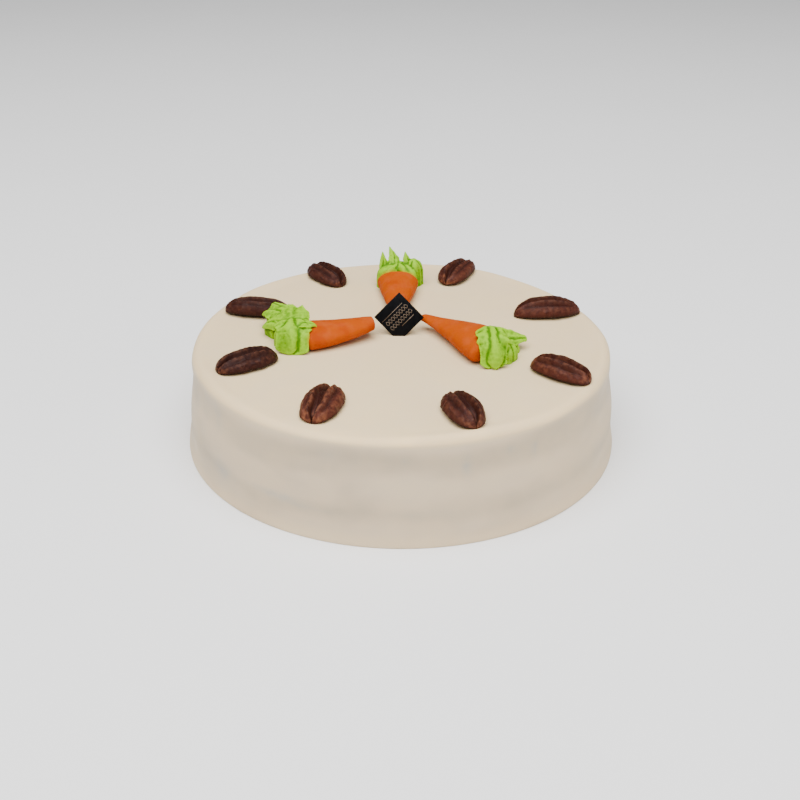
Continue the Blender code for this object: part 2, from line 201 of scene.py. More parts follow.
def colour_setting(name, description, default):
    """A colour property in linear values."""
    return FloatVectorProperty(
        name=name, description=description, subtype="COLOR", size=3, min=0.0, max=1.0, default=default
    )


def length_setting(name, description, default):
    """A length property in metres."""
    return FloatProperty(
        name=name, description=description, subtype="DISTANCE", unit="LENGTH", precision=5, default=default
    )


class FrostingSettings(bpy.types.PropertyGroup):
    """Cream cheese frosting."""

    cream: colour_setting("Cream", "Colour of thick frosting on top", (0.760, 0.585, 0.335))
    # Darker and greyer than the top: the side's own duller frosting, with painted shade where the side faces away from
    # the overhead light.
    side: colour_setting("Side", "Colour of the frosting round the side", (0.600, 0.478, 0.330))
    # Painted shade: the darker bands round the side, under the rim and lower down.
    shade_band: colour_setting("Band", "Colour of the duller bands round the side", (0.455, 0.362, 0.258))
    shade: colour_setting("Shade", "Colour of duller patches", (0.690, 0.540, 0.345))
    # Painted light: a brighter cream for a painted highlight along the rim, painted light on the front of the top and
    # painted bounce light at the foot.
    painted_light: colour_setting("Thick", "Colour of the thicker frosting at the rim and foot", (0.930, 0.690, 0.370))
    thin: colour_setting("Thin", "Colour where the frosting is thin", (0.400, 0.370, 0.320))
    wave_height: length_setting("Waves", "Height of the broad waves in the side", 0.80 * MM)
    streak_height: length_setting("Streaks", "Height of the palette knife's streaks", 0.05 * MM)


class PecanSettings(bpy.types.PropertyGroup):
    """Pecan halves."""

    skin: colour_setting("Skin", "Colour of the lobes", (0.085, 0.0205, 0.0125))
    dark: colour_setting("Dark", "Colour of darker nuts", (0.024, 0.0062, 0.0047))
    # Tan of the worn ends, also used as a painted highlight on the lobes and raised points.
    tan: colour_setting("Tan", "Colour of the worn ends", (0.200, 0.070, 0.034))
    # Painted shade: the colour of the shade in the grooves, the hollows and under the nut.
    groove: colour_setting("Groove", "Colour in the grooves", (0.014, 0.0045, 0.0035))
    wrinkle_height: length_setting("Wrinkles", "Height of the small wrinkles", 0.22 * MM)


class CarrotSettings(bpy.types.PropertyGroup):
    """Marzipan carrots."""

    orange: colour_setting("Orange", "Main colour", (0.378, 0.0575, 0.0))
    red: colour_setting("Red", "Colour of the redder spots", (0.300, 0.026, 0.0))
    dent_height: length_setting("Dents", "Height of the dents from the hand", 0.5 * MM)


class LeafSettings(bpy.types.PropertyGroup):
    """Piped icing leaves."""

    green: colour_setting("Green", "Main colour", (0.130, 0.300, 0.0))
    # Paler green of random patches, also used as a painted highlight on the raised ridges.
    pale: colour_setting("Pale", "Colour of the raised edges", (0.270, 0.520, 0.005))
    # Painted shade: the colour of the shade in the folds.
    fold_shade: colour_setting("Deep", "Colour in the folds", (0.040, 0.150, 0.0))
    # Painted highlight: the yellowish colour along the icing's edges over the carrot.
    edge: colour_setting("Edge", "Colour of the thin edges over the carrot", (0.420, 0.340, 0.010))
    voxel: length_setting("Voxel", "Fineness of the fused icing", 0.36 * MM)


class PlaqueSettings(bpy.types.PropertyGroup):
    """Dark chocolate plaque."""

    chocolate: colour_setting("Chocolate", "Colour of the plaque", (0.0020, 0.0022, 0.0030))
    gold: colour_setting("Gold", "Colour of the printed lines", (0.200, 0.145, 0.100))
    line_width: length_setting("Line width", "Width of the printed lines", 0.28 * MM)
    lozenges: IntProperty(name="Lozenges", description="Lozenges between the lines", default=8, min=2, max=12)


class StageSettings(bpy.types.PropertyGroup):
    """Floor and light."""

    floor: colour_setting("Floor", "Colour of the floor", (0.90, 0.90, 0.90))
    sky: FloatProperty(name="Sky", description="Strength of the light from all round", default=0.22)
    key: FloatProperty(name="Key", description="Power of the large light overhead, in watts", default=66.0)
    fill: FloatProperty(name="Fill", description="Power of the light from the right, in watts", default=5.0)


class CarrotCakeSettings(bpy.types.PropertyGroup):
    """All settings of the cake."""

    frosting: PointerProperty(type=FrostingSettings)
    pecans: PointerProperty(type=PecanSettings)
    carrots: PointerProperty(type=CarrotSettings)
    leaves: PointerProperty(type=LeafSettings)
    plaque: PointerProperty(type=PlaqueSettings)
    stage: PointerProperty(type=StageSettings)


# ---------------------------------------------------------------------------------------------
# Modelling helpers
# ---------------------------------------------------------------------------------------------


def deselect():
    if bpy.context.mode != "OBJECT":
        bpy.ops.object.mode_set(mode="OBJECT")
    bpy.ops.object.select_all(action="DESELECT")


def pick(piece):
    """Makes one piece the only selected and the active one."""
    deselect()
    piece.select_set(True)
    bpy.context.view_layer.objects.active = piece


def settle(piece):
    """Puts a piece's place, turn and size into its mesh."""
    pick(piece)
    bpy.ops.object.transform_apply(location=True, rotation=True, scale=True)


def apply_modifiers(piece):
    pick(piece)
    for modifier in list(piece.modifiers):
        bpy.ops.object.modifier_apply(modifier=modifier.name)


def choose(piece, kind, test):
    """In edit mode, selects only the points, edges or faces that pass the test."""
    bpy.ops.mesh.select_mode(type=kind)
    bpy.ops.mesh.select_all(action="DESELECT")
    shape = bmesh.from_edit_mesh(piece.data)
    parts = {"VERT": shape.verts, "EDGE": shape.edges, "FACE": shape.faces}[kind]
    for part in parts:
        if test(part):
            part.select_set(True)
    bmesh.update_edit_mesh(piece.data)


def move_points(piece, place):
    """Moves each point of a piece to place(point)."""
    mesh = piece.data
    moved = [value for point in mesh.vertices for value in place(point.co)]
    mesh.vertices.foreach_set("co", moved)
    mesh.update()


def store_values(piece, name, values):
    """Keeps one number for each point, for a material to read."""
    layer = piece.data.attributes.new(name, "FLOAT", "POINT")
    layer.data.foreach_set("value", values)


def roughen(piece, grain, height, depth=2):
    """Lifts and lowers the surface by a soft noise of the given grain size."""
    texture = bpy.data.textures.new(f"{piece.name}_{grain:.4f}", "CLOUDS")
    texture.noise_scale = grain
    texture.noise_depth = depth
    modifier = piece.modifiers.new("roughen", "DISPLACE")
    modifier.texture = texture
    modifier.texture_coords = "GLOBAL"
    modifier.direction = "NORMAL"
    modifier.mid_level = 0.5
    modifier.strength = height


def finish_piece(piece, name, node, material):
    """Names a finished piece, shades it smooth and lets it stand for its node."""
    apply_modifiers(piece)
    settle(piece)
    bpy.ops.object.shade_smooth()
    piece.name = name
    piece.data.name = name
    piece.data.materials.clear()
    piece.data.materials.append(material)
    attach(piece, "root")
    if node:
        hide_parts(node)


def bump(value, centre, width):
    """A smooth hill of height 1."""
    return math.exp(-(((value - centre) / width) ** 2))


def smooth_step(value, low, high):
    share = max(0.0, min(1.0, (value - low) / (high - low)))
    return share * share * (3.0 - 2.0 * share)


def signed_power(value, power):
    return math.copysign(abs(value) ** power, value)


def wave_sum(waves, bearing):
    return sum(size * math.cos(count * (bearing - math.radians(crest))) for count, size, crest in waves)


def closed_ends(share, start_cap, end_cap):
    """1 along the middle of a shape, falling to 0 in a round cap at either end."""
    from_end = min(share / start_cap, (1.0 - share) / end_cap, 1.0)
    return math.sqrt(max(0.0, 1.0 - (1.0 - from_end) ** 2))


def relief(piece, smoothing, depth):
    """For each point, how far it stands out of the smoothed skin around it: -1 to 1 at the given depth."""
    soft = piece.copy()
    soft.data = piece.data.copy()
    bpy.context.collection.objects.link(soft)
    soften = soft.modifiers.new("soften", "SMOOTH")
    soften.factor = 0.5
    soften.iterations = smoothing
    apply_modifiers(soft)
    pairs = zip(piece.data.vertices, soft.data.vertices)
    values = [max(-1.0, min(1.0, (point.co - even.co).dot(point.normal) / depth)) for point, even in pairs]
    bpy.data.objects.remove(soft)
    return values


def store_relief(piece, smoothing, depth):
    """Keeps for each point how far it sinks below and stands out of its smoothed skin, as masks for painted shade and
    painted highlight.
    """
    values = relief(piece, smoothing, depth)
    store_values(piece, "hollow_shade", [max(0.0, -value) for value in values])
    store_values(piece, "raised_highlight", [max(0.0, value) for value in values])


def add_ball(name, segments, rings):
    """A ball of radius 1 at the origin, with its poles on Z."""
    deselect()
    bpy.ops.mesh.primitive_uv_sphere_add(segments=segments, ring_count=rings, radius=1.0)
    ball = bpy.context.active_object
    ball.name = name
    return ball


def ball_place(point):
    """Where a point of a ball lies: share from the first pole to the second, and turn round the poles."""
    share = math.acos(max(-1.0, min(1.0, point.z))) / math.pi
    return share, math.atan2(point.y, point.x)


# ---------------------------------------------------------------------------------------------
# Shader groups
# ---------------------------------------------------------------------------------------------


def add_node(tree, kind, **settings):
    node = tree.nodes.new(kind)
    for name, value in settings.items():
        setattr(node, name, value)
    return node


def join(tree, source, target):
    tree.links.new(source, target)


def new_group(name, inputs, outputs):
    """An empty shader group with its sockets: (name, kind, default) in, (name, kind) out."""
    group = bpy.data.node_groups.new(name, "ShaderNodeTree")
    for socket_name, kind, default in inputs:
        socket = group.interface.new_socket(name=socket_name, in_out="INPUT", socket_type=kind)
        if default is not None:
            socket.default_value = default
    for socket_name, kind in outputs:
        group.interface.new_socket(name=socket_name, in_out="OUTPUT", socket_type=kind)
    return group, group.nodes.new("NodeGroupInput"), group.nodes.new("NodeGroupOutput")


def mottle_group():
    """A soft mask of patches: 0 between them and 1 in them."""
    found = bpy.data.node_groups.get("mottle")
    if found:
        return found
    group, given, out = new_group(
        "mottle",
        (
            ("Vector", "NodeSocketVector", None),
            ("Scale", "NodeSocketFloat", 50.0),
            ("Detail", "NodeSocketFloat", 3.0),
            ("Low", "NodeSocketFloat", 0.4),
            ("High", "NodeSocketFloat", 0.6),
        ),
        (("Mask", "NodeSocketFloat"),),
    )
    cloud = add_node(group, "ShaderNodeTexNoise")
    limits = add_node(group, "ShaderNodeMapRange", interpolation_type="SMOOTHSTEP")
    join(group, given.outputs["Vector"], cloud.inputs["Vector"])
    join(group, given.outputs["Scale"], cloud.inputs["Scale"])
    join(group, given.outputs["Detail"], cloud.inputs["Detail"])
    join(group, cloud.outputs["Fac"], limits.inputs["Value"])
    join(group, given.outputs["Low"], limits.inputs["From Min"])
    join(group, given.outputs["High"], limits.inputs["From Max"])
    join(group, limits.outputs["Result"], out.inputs["Mask"])
    return group


def grain_group():
    """The height of a fine grain over a coarser one."""
    found = bpy.data.node_groups.get("grain")
    if found:
        return found
    group, given, out = new_group(
        "grain",
        (
            ("Vector", "NodeSocketVector", None),
            ("Coarse Scale", "NodeSocketFloat", 300.0),
            ("Fine Scale", "NodeSocketFloat", 1800.0),
            ("Fine Share", "NodeSocketFloat", 0.4),
        ),
        (("Height", "NodeSocketFloat"),),
    )
    coarse = add_node(group, "ShaderNodeTexNoise")
    fine = add_node(group, "ShaderNodeTexNoise")
    blend = add_node(group, "ShaderNodeMix", data_type="FLOAT")
    for cloud, scale in ((coarse, "Coarse Scale"), (fine, "Fine Scale")):
        join(group, given.outputs["Vector"], cloud.inputs["Vector"])
        join(group, given.outputs[scale], cloud.inputs["Scale"])
        cloud.inputs["Detail"].default_value = 3.0
    join(group, given.outputs["Fine Share"], blend.inputs["Factor"])
    join(group, coarse.outputs["Fac"], blend.inputs["A"])
    join(group, fine.outputs["Fac"], blend.inputs["B"])
    join(group, blend.outputs["Result"], out.inputs["Height"])
    return group


class Finish:
    """A material being made: its tree, its shader and the piece's own coordinates."""

    def __init__(self, name):
        self.material = bpy.data.materials.new(name)
        self.material.use_nodes = True
        self.tree = self.material.node_tree
        self.shader = self.tree.nodes["Principled BSDF"]
        self.place = add_node(self.tree, "ShaderNodeTexCoord").outputs["Object"]

    def constant(self, socket, value):
        self.shader.inputs[socket].default_value = value

    def stretched(self, scale):
        """The coordinates, multiplied along each axis."""
        mapping = add_node(self.tree, "ShaderNodeMapping")
        mapping.inputs["Scale"].default_value = scale
        join(self.tree, self.place, mapping.inputs["Vector"])
        return mapping.outputs["Vector"]

    def attribute(self, name):
        return add_node(self.tree, "ShaderNodeAttribute", attribute_name=name).outputs["Fac"]

    def group(self, tree, vector=None, **values):
        """Places a shader group. Values are given by socket name, with spaces as underscores."""
        node = add_node(self.tree, "ShaderNodeGroup", node_tree=tree)
        join(self.tree, vector or self.place, node.inputs["Vector"])
        for name, value in values.items():
            node.inputs[name.replace("_", " ")].default_value = value
        return node.outputs[0]

    def mottle(self, scale, low, high, detail=3.0, vector=None):
        return self.group(mottle_group(), vector, Scale=scale, Low=low, High=high, Detail=detail)

    def grain(self, coarse, fine, share, vector=None):
        return self.group(
            grain_group(), vector, Coarse_Scale=coarse, Fine_Scale=fine, Fine_Share=share
        )

    def combine(self, operation, first, second):
        """A Math node of two sockets or numbers."""
        node = add_node(self.tree, "ShaderNodeMath", operation=operation)
        for socket, value in zip(node.inputs, (first, second)):
            if isinstance(value, (int, float)):
                socket.default_value = value
            else:
                join(self.tree, value, socket)
        return node.outputs[0]

    def mix(self, factor, first, second):
        """A colour between two, each a colour or a socket."""
        node = add_node(self.tree, "ShaderNodeMix", data_type="RGBA")
        join(self.tree, factor, node.inputs["Factor"])
        sockets = [socket for socket in node.inputs if socket.type == "RGBA"]
        for socket, value in zip(sockets, (first, second)):
            if isinstance(value, bpy.types.NodeSocket):
                join(self.tree, value, socket)
            else:
                socket.default_value = (*value, 1.0)
        return next(socket for socket in node.outputs if socket.type == "RGBA")

    def colour(self, socket):
        join(self.tree, socket, self.shader.inputs["Base Color"])

    def roughness(self, mask, low, high):
        """Roughness that runs from low to high with a mask."""
        limits = add_node(self.tree, "ShaderNodeMapRange")
        limits.inputs["To Min"].default_value = low
        limits.inputs["To Max"].default_value = high
        join(self.tree, mask, limits.inputs["Value"])
        join(self.tree, limits.outputs["Result"], self.shader.inputs["Roughness"])

    def bumps(self, *layers):
        """Bump nodes in a row, each (height socket, distance in metres)."""
        normal = None
        for height, distance in layers:
            node = add_node(self.tree, "ShaderNodeBump")
            node.inputs["Distance"].default_value = distance
            join(self.tree, height, node.inputs["Height"])
            if normal:
                join(self.tree, normal, node.inputs["Normal"])
            normal = node.outputs["Normal"]
        join(self.tree, normal, self.shader.inputs["Normal"])

    def soft_inside(self, weight, radius_mm, scale):
        """Light that spreads under the surface, as in fat, sugar and almond paste."""
        self.constant("Subsurface Weight", weight)
        self.constant("Subsurface Radius", tuple(value / max(radius_mm) for value in radius_mm))
        self.constant("Subsurface Scale", scale)


# ---------------------------------------------------------------------------------------------
# Materials
# ---------------------------------------------------------------------------------------------


def frosting_material(chosen):
    made = Finish("frosting")
    patches = made.mottle(17.0, 0.38, 0.66)
    small = made.mottle(60.0, 0.35, 0.70)
    # Painted shade: the side darkens in bands.
    side = made.mix(made.attribute("shade_band"), chosen.side, chosen.shade_band)
    # The side is darker than the top: partly painted shade.
    body = made.mix(made.attribute("side"), chosen.cream, side)
    # Painted light: brighter cream on the rim, the front of the top and the foot.
    body = made.mix(made.attribute("painted_light"), body, chosen.painted_light)
    body = made.mix(made.combine("MULTIPLY", patches, 0.35), body, chosen.shade)
    body = made.mix(made.combine("MULTIPLY", small, 0.25), body, chosen.shade)
    uneven = made.mottle(150.0, 0.25, 0.75)
    thin = made.combine("MULTIPLY", made.attribute("thin"), made.combine("ADD", uneven, 0.35))
    made.colour(made.mix(made.combine("MULTIPLY", thin, 0.70), body, chosen.thin))
    made.roughness(small, 0.46, 0.62)
    made.constant("Specular IOR Level", 0.25)
    made.soft_inside(0.22, (3.0, 2.4, 1.7), 3.0 * MM)
    side_streaks = made.group(
        grain_group(), made.stretched((0.09, 0.09, 1.0)), Coarse_Scale=260.0, Fine_Scale=900.0, Fine_Share=0.35
    )
    top_streaks = made.group(
        grain_group(), made.stretched((0.12, 1.0, 0.12)), Coarse_Scale=120.0, Fine_Scale=420.0, Fine_Share=0.4
    )
    made.bumps(
        (side_streaks, 0.10 * MM),
        (top_streaks, 0.07 * MM),
        (made.grain(700.0, 3200.0, 0.5), 0.035 * MM),
    )
    return made.material


def pecan_material(chosen):
    made = Finish("pecan_skin")
    body = made.mix(made.attribute("dark"), chosen.skin, chosen.dark)
    body = made.mix(made.combine("MULTIPLY", made.mottle(260.0, 0.30, 0.70), 0.25), body, chosen.dark)
    # Painted shade in the hollows.
    body = made.mix(made.combine("MULTIPLY", made.attribute("hollow_shade"), 0.65), body, chosen.groove)
    # Tan wear at the ends, with a painted highlight on the lobes' crowns and on raised points.
    wear_and_highlight = made.combine("ADD", made.attribute("wear_and_highlight"), made.combine("MULTIPLY", made.attribute("raised_highlight"), 0.20))
    wear_and_highlight = made.combine("MULTIPLY", wear_and_highlight, made.mottle(420.0, 0.35, 0.72))
    body = made.mix(wear_and_highlight, body, chosen.tan)
    specks = made.combine("MULTIPLY", made.mottle(1100.0, 0.66, 0.76, 2.0), 0.35)
    body = made.mix(specks, body, chosen.tan)
    # Painted shade in the grooves and on the underside.
    made.colour(made.mix(made.attribute("groove"), body, chosen.groove))
    made.roughness(made.mottle(300.0, 0.3, 0.7), 0.42, 0.62)
    made.constant("Specular IOR Level", 0.10)
    lengthwise = made.grain(650.0, 2600.0, 0.35)
    made.bumps((lengthwise, 0.22 * MM))
    return made.material


def marzipan_material(chosen):
    made = Finish("orange_marzipan")
    body = made.mix(made.combine("MULTIPLY", made.mottle(95.0, 0.50, 0.72), 0.5), chosen.orange, chosen.red)
    body = made.mix(
        made.combine("MULTIPLY", made.attribute("handled"), made.mottle(210.0, 0.35, 0.65)), body, chosen.red
    )
    paler = tuple(min(1.0, 1.06 * c + 0.012) for c in chosen.orange)
    body = made.mix(made.combine("MULTIPLY", made.mottle(140.0, 0.45, 0.70), 0.6), body, paler)
    made.colour(body)
    made.roughness(made.mottle(160.0, 0.3, 0.7), 0.42, 0.58)
    made.constant("Specular IOR Level", 0.03)
    made.soft_inside(0.12, (2.6, 1.0, 0.4), 2.2 * MM)
    made.bumps((made.grain(420.0, 2400.0, 0.45), 0.10 * MM))
    return made.material


def icing_material(chosen):
    made = Finish("green_icing")
    body = made.mix(made.combine("MULTIPLY", made.mottle(150.0, 0.38, 0.62), 0.5), chosen.green, chosen.pale)
    # Painted highlight on the raised ridges.
    body = made.mix(made.combine("MULTIPLY", made.attribute("raised_highlight"), 0.9), body, chosen.pale)
    # Painted highlight along the edges over the carrot.
    body = made.mix(made.combine("MULTIPLY", made.attribute("edge"), 0.75), body, chosen.edge)
    # Painted shade in the folds.
    made.colour(made.mix(made.combine("MULTIPLY", made.attribute("hollow_shade"), 0.85), body, chosen.fold_shade))
    made.roughness(made.mottle(220.0, 0.3, 0.7), 0.40, 0.58)
    made.constant("Specular IOR Level", 0.06)
    made.soft_inside(0.12, (1.8, 2.4, 0.8), 1.8 * MM)
    made.bumps((made.grain(520.0, 2600.0, 0.4), 0.09 * MM))
    return made.material


def chocolate_material(chosen):
    made = Finish("dark_chocolate")
    bloom = tuple(1.7 * c for c in chosen.chocolate)
    made.colour(made.mix(made.mottle(260.0, 0.40, 0.75), chosen.chocolate, bloom))
    made.roughness(made.mottle(400.0, 0.3, 0.7), 0.34, 0.50)
    made.constant("Specular IOR Level", 0.07)
    made.bumps((made.grain(500.0, 2600.0, 0.4), 0.05 * MM))
    return made.material


def gold_material(chosen):
    made = Finish("gold_print")
    dull = tuple(0.6 * c for c in chosen.gold)
    made.colour(made.mix(made.mottle(900.0, 0.35, 0.70), chosen.gold, dull))
    made.roughness(made.mottle(900.0, 0.3, 0.7), 0.38, 0.55)
    made.constant("Metallic", 0.35)
    made.bumps((made.grain(900.0, 3600.0, 0.4), 0.02 * MM))
    return made.material


def floor_material(chosen):
    made = Finish("pale_floor")
    duller = tuple(0.985 * c for c in chosen.floor)
    made.colour(made.mix(made.mottle(6.0, 0.35, 0.70), chosen.floor, duller))
    made.roughness(made.mottle(12.0, 0.3, 0.7), 0.75, 0.85)
    return made.material


# ---------------------------------------------------------------------------------------------
# Frosting
# ---------------------------------------------------------------------------------------------


def frosting_blank():
    """A drum of the cake's size with a rounded rim and foot, and an even net of faces."""
    deselect()
    bpy.ops.mesh.primitive_cylinder_add(
        vertices=ROUND_STEPS,
        radius=BASE_RADIUS,
        depth=CAKE_HEIGHT,
        location=(0.0, 0.0, 0.5 * CAKE_HEIGHT),
        end_fill_type="NGON",
    )
    drum = bpy.context.active_object
    settle(drum)
    bpy.ops.object.mode_set(mode="EDIT")
    half = 0.5 * CAKE_HEIGHT
    choose(drum, "VERT", lambda point: point.co.z > half)
    taper = TOP_RADIUS / BASE_RADIUS
    bpy.ops.transform.resize(value=(taper, taper, 1.0), center_override=(0.0, 0.0, CAKE_HEIGHT))
    choose(drum, "EDGE", lambda edge: all(point.co.z > half for point in edge.verts))
    bpy.ops.mesh.bevel(offset=RIM_ROUNDING, segments=RIM_SEGMENTS, profile=0.5, affect="EDGES")
    choose(drum, "EDGE", lambda edge: all(point.co.z < FOOT_ROUNDING for point in edge.verts))
    bpy.ops.mesh.bevel(offset=FOOT_ROUNDING, segments=3, profile=0.5, affect="EDGES")
    tall = 0.5 * CAKE_HEIGHT
    choose(drum, "EDGE", lambda edge: abs(edge.verts[0].co.z - edge.verts[1].co.z) > tall)
    bpy.ops.mesh.subdivide(number_cuts=SIDE_CUTS)
    for level in (CAKE_HEIGHT, 0.0):
        ring_closed_end(drum, level)
    bpy.ops.object.mode_set(mode="OBJECT")
    return drum


def ring_closed_end(drum, level):
    """Fills a flat end with rings of faces and a middle point."""
    choose(drum, "FACE", lambda face: len(face.verts) == ROUND_STEPS and abs(face.calc_center_median().z - level) < MM)
    rings = int((TOP_RADIUS - RIM_ROUNDING) / TOP_RING_STEP) - 1 if level > 0.0 else 1
    for _ in range(rings):
        bpy.ops.mesh.inset(thickness=TOP_RING_STEP, depth=0.0)
    bpy.ops.mesh.poke()


def side_relief(bearing, height):
    """How far the side stands in or out, in units of the wave height."""
    round_x, round_y = math.cos(bearing), math.sin(bearing)
    drift = 5.0 * MM * noise.noise(Vector((1.4 * round_x, 1.4 * round_y, 3.1)))
    level = height + drift
    bands = 0.75 * bump(level, 50.5 * MM, 4.5 * MM) - 0.70 * bump(level, 42.0 * MM, 7.0 * MM)
    bands += 0.55 * bump(level, 27.0 * MM, 8.0 * MM) - 0.30 * bump(level, 9.0 * MM, 6.0 * MM)
    broad = noise.noise(Vector((3.2 * round_x, 3.2 * round_y, height / (17.0 * MM))))
    return bands + 1.1 * broad


def knife_streaks(bearing, height):
    """Fine level lines from the palette knife."""
    place = Vector((5.0 * math.cos(bearing), 5.0 * math.sin(bearing), height / (2.4 * MM)))
    return noise.noise(place) + 0.5 * noise.noise(2.3 * place)


def frosting_place(chosen):
    """A function that moves a point of the drum to the frosting's uneven surface."""

    def place(point):
        radius = point.xy.length
        if radius < 0.1 * MM:
            return point
        bearing = math.atan2(point.y, point.x)
        share = point.z / CAKE_HEIGHT
        on_side = smooth_step(radius, TOP_RADIUS - 2.0 * RIM_ROUNDING, TOP_RADIUS - 0.6 * RIM_ROUNDING)
        on_side *= smooth_step(point.z, 0.0, 3.0 * MM)
        out = share * wave_sum(RIM_BULGE_WAVES, bearing)
        out += on_side * chosen.wave_height * side_relief(bearing, point.z)
        out += on_side * chosen.streak_height * knife_streaks(bearing, point.z)
        lip = smooth_step(radius, TOP_RADIUS - RIM_LIP_WIDTH, TOP_RADIUS - RIM_ROUNDING)
        rise = lip * (RIM_LIP + wave_sum(RIM_RISE_WAVES, bearing))
        flat = 1.0 - smooth_step(radius, TOP_RADIUS - RIM_LIP_WIDTH, TOP_RADIUS)
        swirl = noise.noise(Vector((point.x / (34.0 * MM), point.y / (26.0 * MM), 0.7)))
        fine = noise.noise(Vector((point.x / (26.0 * MM), point.y / (4.0 * MM), 5.3)))
        rise += flat * (0.14 * MM * swirl + 0.035 * MM * fine)
        up = smooth_step(share, 0.8, 1.0) * rise
        spread = (radius + min(out, BASE_RADIUS - radius)) / radius
        return Vector((point.x * spread, point.y * spread, point.z + up))

    return place


def thin_share(point):
    """How thin the frosting is at a point of the side, from 0 to 1."""
    bearing = math.degrees(math.atan2(point.y, point.x))
    total = 0.0
    for spot_bearing, height, half_length, half_height, strength in THIN_SPOTS:
        away = (bearing - spot_bearing + 180.0) % 360.0 - 180.0
        along = math.radians(away) * BASE_RADIUS
        total += strength * bump(along, 0.0, half_length) * bump(point.z, height, half_height)
    side = smooth_step(point.xy.length, TOP_RADIUS - RIM_ROUNDING, TOP_RADIUS)
    return min(1.0, side * total)


def shade_band_share(point):
    """How far a point of the side lies in the painted shade bands: a broad one under the rim, a fainter one lower down,
    and patches.
    """
    bearing = math.atan2(point.y, point.x)
    round_x, round_y = math.cos(bearing), math.sin(bearing)
    level = point.z + 4.0 * MM * noise.noise(Vector((1.7 * round_x, 1.7 * round_y, 2.2)))
    upper = math.exp(-(((level - 44.0 * MM) / (8.0 * MM)) ** 4))
    lower = 0.75 * bump(level, 18.0 * MM, 5.0 * MM)
    patches = noise.noise(Vector((3.4 * round_x, 3.4 * round_y, point.z / (15.0 * MM))))
    small = noise.noise(Vector((11.0 * round_x, 11.0 * round_y, point.z / (5.0 * MM))))
    return max(0.0, min(1.0, 0.85 * upper + lower + 0.75 * patches + 0.25 * small))


def side_share(point):
    """0 on top of the cake and 1 on its side."""
    return smooth_step(CAKE_HEIGHT - point.z, 0.8 * MM, 5.0 * MM)


def painted_light_share(point):
    """How much painted light a point gets: a painted highlight along the rim, painted light on the front of the top and
    painted bounce light at the foot.
    """
    radius = math.hypot(point.x, point.y)
    on_top = smooth_step(point.z, CAKE_HEIGHT - 3.6 * MM, CAKE_HEIGHT - 1.2 * MM)
    rim = smooth_step(radius, 98.0 * MM, 113.0 * MM)
    front = smooth_step(-point.y, 20.0 * MM, 92.0 * MM)
    return on_top * (0.22 * rim + (0.34 + 0.34 * rim) * front) + 0.20 * smooth_step(-point.z, -9.0 * MM, -3.0 * MM)


class CARROTCAKE_OT_frosting(bpy.types.Operator):
    """Models the frosted cake."""

    bl_idname = "carrotcake.frosting"
    bl_label = "Frost the Cake"

    def execute(self, context):
        chosen = context.scene.carrot_cake.frosting
        drum = frosting_blank()
        move_points(drum, frosting_place(chosen))
        store_values(drum, "thin", [thin_share(point.co) for point in drum.data.vertices])
        store_values(drum, "side", [side_share(point.co) for point in drum.data.vertices])
        store_values(drum, "shade_band", [shade_band_share(point.co) for point in drum.data.vertices])
        store_values(drum, "painted_light", [painted_light_share(point.co) for point in drum.data.vertices])
        finish_piece(drum, "frosting", "cake", frosting_material(chosen))
        return {"FINISHED"}


# ---------------------------------------------------------------------------------------------
# Pecan halves
# ---------------------------------------------------------------------------------------------


def measured_lie(node, heading_deg):
    """Centre, length, width, height and foot of a pecan in the frame, along its heading."""
    heading = math.radians(heading_deg)
    forward = Vector((math.cos(heading), math.sin(heading), 0.0))
    side = Vector((-forward.y, forward.x, 0.0))
    low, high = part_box(node)
    points = [point.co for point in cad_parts[node].data.vertices]
    along = [point.dot(forward) for point in points]
    across = [point.dot(side) for point in points]
    middle = forward * (0.5 * (min(along) + max(along))) + side * (0.5 * (min(across) + max(across)))
    sizes = (max(along) - min(along), max(across) - min(across), high.z - low.z)
    return middle, sizes, low.z


def groove_line(groove_at, forward, seed):
    """Where the central groove runs across a pecan, at a place along it from -1 to 1."""
    return groove_at + 0.07 * math.sin(2.4 * forward + seed) + 0.03 * math.sin(7.0 * forward + 2.0 * seed)


def lobe_share(across, middle):
    """How far across its lobe a point lies: 0 in the central groove and 1 at the outer edge."""
    if across >= middle:
        return (across - middle) / (1.0 - middle)
    return (middle - across) / (1.0 + middle)


def lobe_rise(lobe, side_groove, split):
    """Height of a lobe from the central groove to its outer edge."""
    dome = max(0.0, 1.0 - max(0.0, (lobe - 0.28) / 0.72) ** 2.3) ** 0.62
    dome -= 0.28 * (max(0.0, 0.42 - lobe) / 0.42) ** 2
    channel = (0.40 + 0.28 * split) * math.exp(-((lobe / 0.22) ** 4))
    crest = 0.44 * (1.0 - 0.35 * split) * bump(lobe, 0.0, 0.085)
    furrow = 1.3 * side_groove * bump(lobe, 0.58, 0.10)
    shoulder = 0.07 * bump(lobe, 0.36, 0.12)
    return dome - channel + crest - furrow + shoulder


def pecan_folds(x, y, seed):
    """The brain-like folds of a pecan's skin, as a height in metres."""
    warp = Vector((x / (5.0 * MM), y / (4.0 * MM), 2.3 * seed))
    shifted_x = x + 1.3 * MM * noise.noise(warp)
    shifted_y = y + 0.9 * MM * noise.noise(warp + Vector((7.7, 3.1, 0.0)))
    across = noise.noise(Vector((shifted_x / (2.2 * MM), shifted_y / (4.4 * MM), 9.3 * seed)))
    along = noise.noise(Vector((shifted_x / (6.5 * MM), shifted_y / (1.7 * MM), 5.1 * seed)))
    return 0.20 * MM * (0.35 - abs(across) * 1.5) + 0.55 * MM * (0.35 - abs(along) * 1.4)


